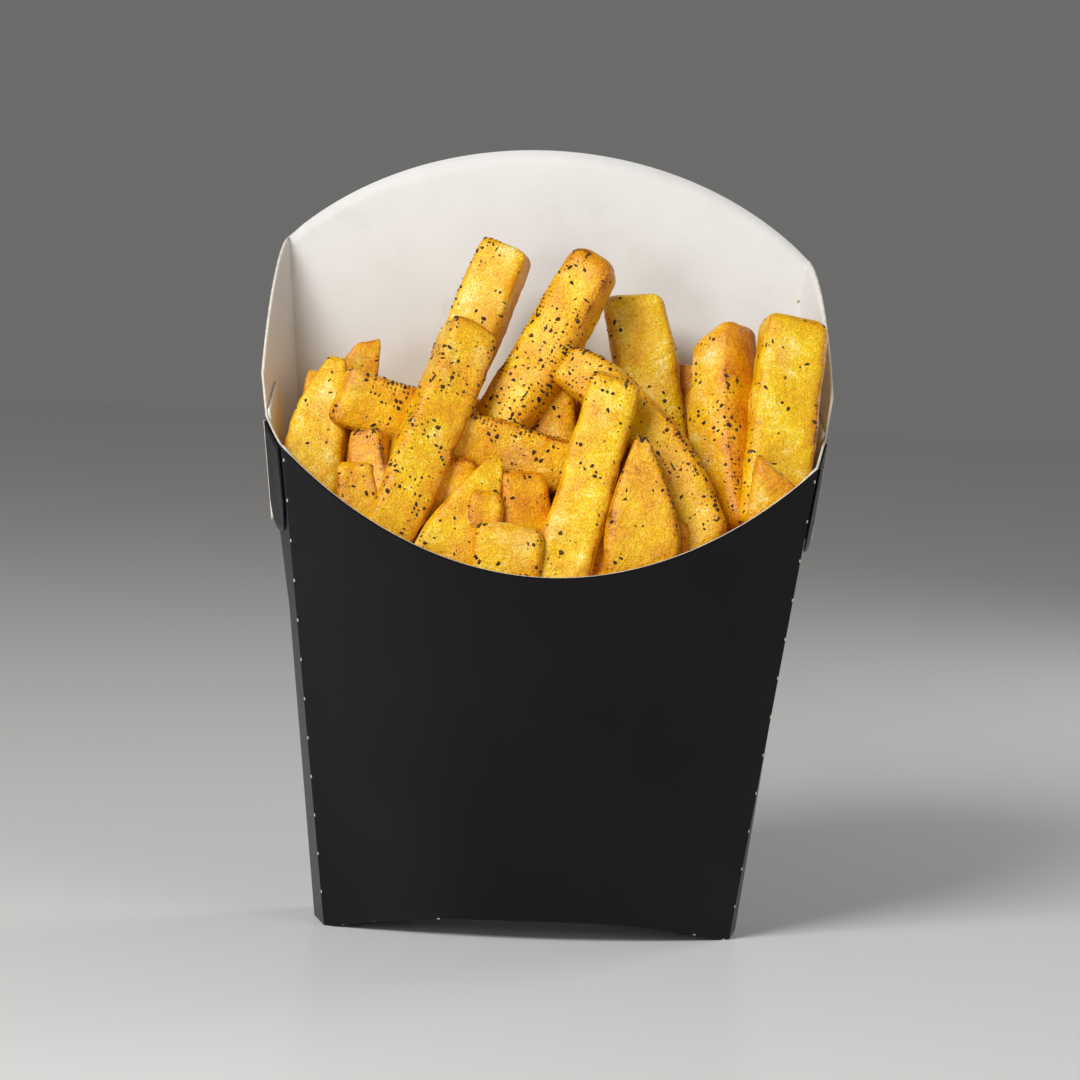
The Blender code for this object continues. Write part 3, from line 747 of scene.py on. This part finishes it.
# Hue of a fry: below 0 it leans to olive yellow, above 0 to orange
WARMTH = {"wedge_right": -0.9, "front_centre": -0.6, "right_end": -0.6, "long_left": -0.2, "pale_back": -0.1,
          "left_pale": -0.4, "wedge_left": -0.2, "tall_left": 0.2, "long_curved": -0.3, "right_orange": 0.8,
          "orange_tip": 0.9, "orange_short": 0.9, "brown_edged": 0.4, "right_tip": 0.8}
CORNER_CROWDING = 0.8           # how much the block's divisions crowd towards its corners
EDGE_TOAST = 0.84
EDGE_BROWN_MM = 1.0
EDGE_MEAN = 0.55                # an edge browns in patches, about this mean
EDGE_SWING = 0.9
EDGE_PATCH_MM = 4.0
EDGE_PATCH_SHIFT = Vector((9.0, 3.0, 5.0))
END_BROWN_MM = 3.2
PATCH_MM = 6.5
PATCH_TOAST = 0.28


def divided_block(across_parts, along_parts):
    """A two-unit block with divided faces, in its own mesh."""
    bm = bmesh.new()
    bmesh.ops.create_cube(bm, size=2.0)
    for axis, parts in ((2, along_parts), (0, across_parts), (1, across_parts)):
        edges = [e for e in bm.edges if abs((e.verts[0].co - e.verts[1].co)[axis]) > 0.01]
        bmesh.ops.subdivide_edges(bm, edges=edges, cuts=parts - 1, use_grid_fill=True)
    return bm


def faced_outward(bm):
    """Turns the faces of a closed mesh outward, by the sign of its volume."""
    bmesh.ops.recalc_face_normals(bm, faces=bm.faces)
    if bm.calc_volume(signed=True) < 0.0:
        bmesh.ops.reverse_faces(bm, faces=bm.faces)
    return bm


def crowded(value):
    """Moves an even division of -1..1 towards the ends."""
    quarter = math.pi / 2.0 * CORNER_CROWDING
    return math.sin(value * quarter) / math.sin(quarter)


def nearest_box_point(block, half, corner):
    """A block point rounded off at the corners, its outward way, and its distance to an edge."""
    radius = corner * 2.0 * half.y
    inner = Vector([max(radius - h, min(h - radius, v)) for v, h in zip(block, half)])
    out = (block - inner).normalized()
    gaps = sorted(h - abs(v) for v, h in zip(block, half))
    return inner + out * radius, out, gaps[1]


def end_cut(solid, half, slant):
    """How much shorter a slanted end is at a place across the fry."""
    fade = 1.0 - share(solid.z, -half.z, SLANT_REACH_MM - half.z)
    return fade * abs(slant) * (half.x + math.copysign(solid.x, slant * solid.x))


def skin_relief(spot, out, block, half):
    """How far the skin lies outside the plain cut, in millimetres."""
    sunk = (1.0 - (block.x / half.x) ** 2) * abs(out.y) + (1.0 - (block.y / half.y) ** 2) * abs(out.x)
    bulge = BULGE * (noise.noise(spot / BULGE_MM) + BULGE_SHIFT)
    wrinkle = WRINKLE * noise.fractal(spot / WRINKLE_MM, 1.0, 2.0, 2)
    return bulge + wrinkle - FACE_SINK * sunk


def toast_at(spot, out, edge_mm, end_mm, toasts):
    """How browned the skin is there, 0 for pale and 1 for dark."""
    front, right, edge, end = toasts
    # The right side's extra toast is partly painted shade, for faces turned away from the key light.
    side = front + (right - front) * max(0.0, out.x)
    patch = PATCH_TOAST * noise.fractal(spot / PATCH_MM, 1.0, 2.0, 3)
    uneven = EDGE_MEAN + EDGE_SWING * noise.noise(spot / EDGE_PATCH_MM + EDGE_PATCH_SHIFT)
    browned = edge * EDGE_TOAST * math.exp(-edge_mm / EDGE_BROWN_MM) * max(0.0, uneven)
    ended = (end - side) * math.exp(-end_mm / END_BROWN_MM)
    return side + patch + browned + ended


def make_fry(top, foot, fry, toasts, warm, end_slant, corner, number, across_parts, ring_mm):
    """One fry in its own mesh, with how toasted each of its points is and how warm its hue."""
    width, thick, turn, bow, tip = fry
    axis, across, wide_way, thick_way = fry_frame(top, foot, turn)
    length = (foot - top).length
    half = Vector((width, thick, length)) / 2.0
    bm = divided_block(across_parts, max(6, round(length / ring_mm)))
    toast = bm.verts.layers.float.new("toast")
    warmth = bm.verts.layers.float.new("warmth")
    home = Vector((31.0, 17.0, 23.0)) * number
    for vert in bm.verts:
        p, q, s = vert.co
        block = Vector((crowded(p) * half.x, crowded(q) * half.y, s * half.z))
        solid, out, edge_mm = nearest_box_point(block, half, corner)
        spot = solid + home
        solid += out * skin_relief(spot, out, block, half)
        solid.z += end_cut(solid, half, end_slant)
        along = 0.5 + solid.z / length
        narrow = tip + (1.0 - tip) * math.sin(math.pi / 2.0 * min(1.0, max(0.0, along) / TAPER_LENGTH))
        thin = TIP_THICKNESS + (1.0 - TIP_THICKNESS) * narrow
        centre = top.lerp(foot, along) + across * bow * 4.0 * along * (1.0 - along)
        centre.y += MIDDLE_Y
        vert.co = (centre + wide_way * solid.x * narrow + thick_way * solid.y * thin) * MM
        vert[toast] = toast_at(spot, out, edge_mm, half.z + block.z, toasts)
        vert[warmth] = warm
    return faced_outward(bm)


def finish_piece(bm, name, materials, slot):
    """Turns a mesh into a finished piece on the root body."""
    mesh = bpy.data.meshes.new(name)
    bm.to_mesh(mesh)
    bm.free()
    mesh.shade_smooth()
    for material in materials:
        mesh.materials.append(material)
    piece = bpy.data.objects.new(name, mesh)
    bpy.context.scene.collection.objects.link(piece)
    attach(piece, "root")
    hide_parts(slot)
    print(name, "faces:", len(mesh.polygons))
    return piece


# %% [markdown]
# ## Fried potato skin
# Fried skin is translucent starch under a thin film of oil. Its colour runs from pale straw over
# golden yellow to orange brown, in patches, with darker edges and ends. The toast value of each
# point leads, and noise at three sizes breaks it up: cloudy patches, blisters of about a
# millimetre, and fine grain. Where oil has soaked in, the yellow is deeper, and where it has not,
# the skin is matt and paler. Tiny dry crystals of starch catch the light: they bump the surface,
# and they make lighter and darker specks in the colour, whose lighter ones are painted glints.
# Each fry also leans a little to olive or to orange, as potatoes and frying times differ.

# %% Skin material
BLISTER_MM = 1.5
GRAIN_MM = 0.46                 # real starch grain is finer, drawn as coarse as it shows
CRYSTAL_MM = 0.36
SOAKED_MM = 8.0
HUE_LEAN = 0.007                # how far the warmest fry's hue leans to orange
CLOUD_MM = 4.2
# How much each pattern adds to the toast, and what is taken off so that the sum stays on the ramp
CLOUD_SHARE = 0.50
GRAIN_SHARE = 0.98
BLISTER_SHARE = 0.20
LEVEL_SHIFT = 0.88


def fried_potato_skin():
    material, tree, shader, place = new_material("fried potato skin")
    toast, warmth = [add_node(tree, "ShaderNodeAttribute", attribute_name=name).outputs["Fac"]
                     for name in ("toast", "warmth")]
    cloud = add_node(tree, "ShaderNodeTexNoise",
                     {"Scale": 1.0 / (CLOUD_MM * MM), "Detail": 4.0, "Roughness": 0.62}, {"Vector": place})
    grain, soaked, crystal = [
        add_node(tree, "ShaderNodeTexNoise", {"Scale": 1.0 / (size * MM), "Detail": detail},
                 {"Vector": place})
        for size, detail in ((GRAIN_MM, 3.0), (SOAKED_MM, 3.0), (CRYSTAL_MM, 2.0))]
    blister = add_node(tree, "ShaderNodeTexVoronoi", {"Scale": 1.0 / (BLISTER_MM * MM), "Smoothness": 0.6},
                       {"Vector": place}, feature="SMOOTH_F1")
    summed = toast
    for part, weight in ((cloud.outputs["Fac"], CLOUD_SHARE), (grain.outputs["Fac"], GRAIN_SHARE),
                         (blister.outputs["Distance"], BLISTER_SHARE)):
        summed = add_node(tree, "ShaderNodeMath", {1: weight}, {0: part, 2: summed},
                          operation="MULTIPLY_ADD").outputs[0]
    level = add_node(tree, "ShaderNodeMath", {1: LEVEL_SHIFT}, {0: summed}, operation="SUBTRACT")
    colour = add_node(tree, "ShaderNodeValToRGB", links={"Fac": level.outputs[0]},
                      stops=[(0.0, "#F5DF94"), (0.18, "#EFC952"), (0.38, "#E6AF1E"), (0.56, "#DE9C12"),
                             (0.75, "#D3860E"), (0.90, "#B2680E"), (1.0, "#7C480C")])
    depth = add_node(tree, "ShaderNodeMapRange",
                     {"From Min": 0.32, "From Max": 0.68, "To Min": 0.96, "To Max": 1.18},
                     {"Value": soaked.outputs["Fac"]})
    # Painted glints: the crystal grain makes the colour lighter and darker in fine specks.
    painted_glint = add_node(tree, "ShaderNodeMapRange",
                     {"From Min": 0.36, "From Max": 0.68, "To Min": 0.87, "To Max": 1.17},
                     {"Value": crystal.outputs["Fac"]})
    hue = add_node(tree, "ShaderNodeMath", {1: -HUE_LEAN, 2: 0.5}, {0: warmth}, operation="MULTIPLY_ADD")
    toned = add_node(tree, "ShaderNodeHueSaturation",
                     links={"Hue": hue.outputs[0], "Saturation": depth.outputs["Result"],
                            "Value": painted_glint.outputs["Result"], "Color": colour.outputs["Color"]})
    tree.links.new(toned.outputs["Color"], shader.inputs["Base Color"])
    oily = add_node(tree, "ShaderNodeMapRange",
                    {"From Min": 0.32, "From Max": 0.68, "To Min": 0.50, "To Max": 0.26},
                    {"Value": soaked.outputs["Fac"]})
    tree.links.new(oily.outputs["Result"], shader.inputs["Roughness"])
    # Bumps from fine to coarse, each on top of the last: height, strength, and depth in millimetres
    normal = {}
    for height, strength, depth_mm in (
            (crystal.outputs["Fac"], 0.9, 0.14), (grain.outputs["Fac"], 0.9, 0.22),
            (blister.outputs["Distance"], 0.6, 0.28), (cloud.outputs["Fac"], 0.5, 0.6)):
        bump = add_node(tree, "ShaderNodeBump", {"Strength": strength, "Distance": depth_mm * MM},
                        {"Height": height, **normal})
        normal = {"Normal": bump.outputs["Normal"]}
    tree.links.new(normal["Normal"], shader.inputs["Normal"])
    shader.inputs["Subsurface Weight"].default_value = 0.12
    shader.inputs["Subsurface Radius"].default_value = (1.0, 0.65, 0.2)
    shader.inputs["Subsurface Scale"].default_value = 1.0 * MM
    shader.inputs["Specular IOR Level"].default_value = 0.42
    return material


FRIED_SKIN = fried_potato_skin()
print("made", FRIED_SKIN.name)

# %% [markdown]
# ## The heap
# The fries that show are fine enough for close looks. The ones behind them are coarser. Below
# them a plain body fills the carton, as packed fries do, so nothing is hollow when it is seen
# from above between the fries.

# %% Build the fries
SHOWING_PARTS = 13
SHOWING_RING_MM = 0.95
HIDDEN_PARTS = 8
HIDDEN_RING_MM = 1.7
SPOT_SEED = 3
SPOTS_PER_FLECK = 30
FLECK_FLOOR_Z = 76.0            # nothing lands lower than the lowest point of the rim
SPRINKLED_FROM = Vector((-0.15, -0.75, 0.65))
CLUSTER_MM = 5.0
CLUSTER_MEAN = 0.35             # above 0 there is seasoning between the clusters too
CLUSTER_SWING = 1.9
CLUSTER_GAIN = 0.8
THICK_GAIN = 0.5
SHADED_FALL = 0.22              # lets some land on faces that look away
# Where the seasoning fell thickest: x, z, radius, and how much thicker
THICK_FALLS = [(-8, 112, 8, 1.8), (6, 120, 7, 1.6), (40, 104, 9, 1.5), (-30, 100, 9, 0.8), (30, 93, 9, 0.6)]


def joined(parts):
    """Several meshes put together into one."""
    whole = bmesh.new()
    for part in parts:
        holder = bpy.data.meshes.new("part")
        part.to_mesh(holder)
        part.free()
        whole.from_mesh(holder)
        bpy.data.meshes.remove(holder)
    return whole


def fall_at(place):
    """How thickly the seasoning fell there, in clusters."""
    cluster = CLUSTER_MEAN + CLUSTER_SWING * noise.noise(place / (CLUSTER_MM * MM))
    thick = sum(gain * math.exp(-((place.x / MM - x) ** 2 + (place.z / MM - z) ** 2) / (radius * radius))
                for x, z, radius, gain in THICK_FALLS)
    return max(0.0, cluster) * CLUSTER_GAIN + THICK_GAIN * thick


def face_spots(bm, count, draw):
    """Centres and normals of some faces, most of them where seasoning falls, in loose clusters."""
    bm.faces.ensure_lookup_table()
    bm.normal_update()
    spots = []
    for _ in range(count * SPOTS_PER_FLECK):
        face = draw.choice(bm.faces)
        centre = face.calc_center_median()
        facing = SHADED_FALL + face.normal.dot(SPRINKLED_FROM)
        if centre.z > FLECK_FLOOR_Z * MM and draw.random() < facing * fall_at(centre):
            spots.append((centre, face.normal.copy()))
    return spots


def build_showing():
    """The fries that show, and the places on each where flecks may lie."""
    draw = random.Random(SPOT_SEED)
    parts = []
    spots = []
    for number, (name, values) in enumerate(FRIES.items()):
        top = seen_at(*values[0:3])
        foot = seen_at(*values[3:6])
        top += (top - foot).normalized() * END_PROUD_MM
        bm = make_fry(top, foot, values[6:11], values[11:15], WARMTH.get(name, 0.0),
                      SLANTS.get(name, 0.04), ROUNDER.get(name, CORNER_SHARE), number,
                      SHOWING_PARTS, SHOWING_RING_MM)
        spots.append((values[15], face_spots(bm, values[15], draw)))
        parts.append(bm)
    return joined(parts), spots


def build_behind():
    """The fries behind, leaning as they fell."""
    draw = random.Random(HIDDEN_SEED)
    parts = []
    for number, (x, y, z) in enumerate(HIDDEN_TOPS):
        top = Vector((x, y, z))
        lean = Vector((draw.uniform(-HIDDEN_LEAN, HIDDEN_LEAN), draw.uniform(-HIDDEN_LEAN, 0.0), 0.0))
        inward = Vector((-0.12 * x, -0.25 * y, 0.0))
        foot = top + inward + lean - Vector((0.0, 0.0, HIDDEN_LENGTH))
        width = draw.uniform(*HIDDEN_WIDTHS)
        turn = draw.uniform(-45.0, 45.0)
        toast = 0.42 + 0.26 * noise.noise(Vector((x, y, z)) / 9.0)
        # The right side is toasted more, partly as painted shade, as on the fries that show.
        toasts = (toast, toast + 0.12, 0.5, toast + 0.15)
        fry = (width, width - 1.0, turn, 0.0, 0.8)
        slant = 0.4 * noise.noise(Vector((y, x, z)) / 5.0)
        parts.append(make_fry(top, foot, fry, toasts, draw.uniform(-0.5, 0.7), slant, CORNER_SHARE,
                              number + 50, HIDDEN_PARTS, HIDDEN_RING_MM))
    return joined(parts)


showing, fleck_spots = build_showing()
fries_showing = finish_piece(showing, "fries_showing", [FRIED_SKIN], "fries")
fries_behind = finish_piece(build_behind(), "fries_behind", [FRIED_SKIN], "fries")

# %% Body of the heap
HEAP_GAP = 1.8
CORE_BOTTOM_Z = 9.0
CORE_FRONT_Z = 74.0
CORE_BACK_Z = 104.0
CORE_ROWS = 40
CORE_COLUMNS = 96


def core_edge(turn, z):
    """A point of the heap's side at a height, a little inside the carton."""
    across = max(-1.0, min(1.0, 1.12 * math.cos(turn)))
    deep = max(-1.0, min(1.0, 1.25 * math.sin(turn)))
    x = across * (front_half(z) - HEAP_GAP)
    y = deep * (crease_depth(z) + panel_bow(z) * (1.0 - across * across) - HEAP_GAP)
    return Vector((x, y + MIDDLE_Y, z))


def build_core():
    """A cylinder pushed out to the carton's inside, with a top that slopes to the front."""
    bm = bmesh.new()
    bmesh.ops.create_cone(bm, cap_ends=True, segments=CORE_COLUMNS, radius1=1.0, radius2=1.0, depth=2.0)
    uprights = [e for e in bm.edges if abs(e.verts[0].co.z - e.verts[1].co.z) > 0.01]
    bmesh.ops.subdivide_edges(bm, edges=uprights, cuts=CORE_ROWS - 1)
    toast = bm.verts.layers.float.new("toast")
    for vert in bm.verts:
        turn = math.atan2(vert.co.y, vert.co.x)
        part = (vert.co.z + 1.0) / 2.0
        back = 0.5 + 0.5 * math.sin(turn)
        z = CORE_BOTTOM_Z + (CORE_FRONT_Z + (CORE_BACK_Z - CORE_FRONT_Z) * back - CORE_BOTTOM_Z) * part
        place = core_edge(turn, z)
        vert.co = place * MM
        # Toasted darker than most fries: painted shade for the body that lies deep in the heap.
        vert[toast] = 0.6 + 0.3 * noise.noise(place / 7.0)
    return faced_outward(bm)


heap_core = finish_piece(build_core(), "heap_core", [FRIED_SKIN], "fries")

# %% [markdown]
# ## Seasoning
# Cracked pepper, dried herbs and salt were sprinkled over the fries from above and in front. They
# are thin, irregular bits from 0.2 to 1.9 mm, and they stick to the oil, so they lie flat on the
# faces. Each kind is one mesh at true size. A bit is only set where nothing covers the face.

# %% Flecks, herbs, salt
COVER_GAP_MM = 3.5
SMALL_BIAS = 3.6                # the higher, the more of the bits are near the small end
FLAT_JITTER = 0.3               # roughness of a bit across its thickness


def open_spots(spots, tree, wanted):
    """Places that nothing covers within a few millimetres."""
    found = []
    for centre, normal in spots:
        if len(found) == wanted:
            break
        hit = tree.ray_cast(centre + normal * 0.2 * MM, normal, COVER_GAP_MM * MM)
        if hit[0] is None:
            found.append((centre, normal))
    return found


def add_bit(bm, centre, normal, size, jitter, draw):
    """A small irregular bit that lies flat on a face, its size in millimetres."""
    spin = Matrix.Rotation(draw.uniform(0.0, 2.0 * math.pi), 4, "Z")
    lie = normal.to_track_quat("Z", "Y").to_matrix().to_4x4()
    stretch = Matrix.Diagonal((*(v * MM / 2.0 for v in size), 1.0))
    place = Matrix.Translation(centre + normal * size[2] * 0.25 * MM) @ lie @ spin @ stretch
    made = bmesh.ops.create_icosphere(bm, subdivisions=1, radius=1.0, matrix=Matrix.Identity(4))["verts"]
    for vert in made:
        rough = Vector([draw.uniform(-reach, reach) for reach in (jitter, jitter, FLAT_JITTER)])
        vert.co = place @ (vert.co + rough)


def sprinkle(name, material, seed, keep_share, long_range, wide_share, thick, jitter):
    """One kind of bit, scattered over the open faces of the fries that show, most of it small."""
    draw = random.Random(seed)
    parts = []
    for wanted, spots in fleck_spots:
        bm = bmesh.new()
        parts.append(bm)
        mixed = list(spots)
        draw.shuffle(mixed)
        for centre, normal in open_spots(mixed, COVER, round(wanted * keep_share)):
            long = long_range[0] + (long_range[1] - long_range[0]) * draw.random() ** SMALL_BIAS
            wide = long * draw.uniform(*wide_share)
            add_bit(bm, centre, normal, (long, wide, min(thick, 0.6 * long)), jitter, draw)
    return finish_piece(joined(parts), name, [material], "fries")


def bit_material(name, dark, pale, roughness, size_mm):
    """A mottled material for small bits: two shades of the same stuff and a rough surface."""
    material, tree, shader, place = new_material(name)
    mottle = add_node(tree, "ShaderNodeTexNoise", {"Scale": 1.0 / (size_mm * MM), "Detail": 3.0},
                      {"Vector": place})
    shade = add_node(tree, "ShaderNodeValToRGB", links={"Fac": mottle.outputs["Fac"]},
                     stops=[(0.35, dark), (0.65, pale)])
    tree.links.new(shade.outputs["Color"], shader.inputs["Base Color"])
    bump = add_node(tree, "ShaderNodeBump", {"Strength": 0.6, "Distance": 0.1 * MM},
                    {"Height": mottle.outputs["Fac"]})
    tree.links.new(bump.outputs["Normal"], shader.inputs["Normal"])
    shader.inputs["Roughness"].default_value = roughness
    return material


CRACKED_PEPPER = bit_material("cracked black pepper", "#1A0F07", "#553418", 0.8, 1.4)
DRIED_HERB = bit_material("dried green herb", "#26261A", "#514C2A", 0.85, 2.2)
TABLE_SALT = bit_material("table salt grains", "#E9E6DE", "#FBFAF6", 0.3, 0.9)
COVER = BVHTree.FromPolygons([v.co for v in fries_showing.data.vertices],
                             [p.vertices for p in fries_showing.data.polygons])
sprinkle("pepper_flecks", CRACKED_PEPPER, 21, 4.4, (0.18, 1.20), (0.36, 0.85), 0.22, 0.42)
sprinkle("herb_flakes", DRIED_HERB, 22, 0.20, (0.6, 1.9), (0.24, 0.48), 0.18, 0.26)
sprinkle("salt_grains", TABLE_SALT, 23, 0.12, (0.25, 0.5), (0.6, 1.0), 0.3, 0.1)
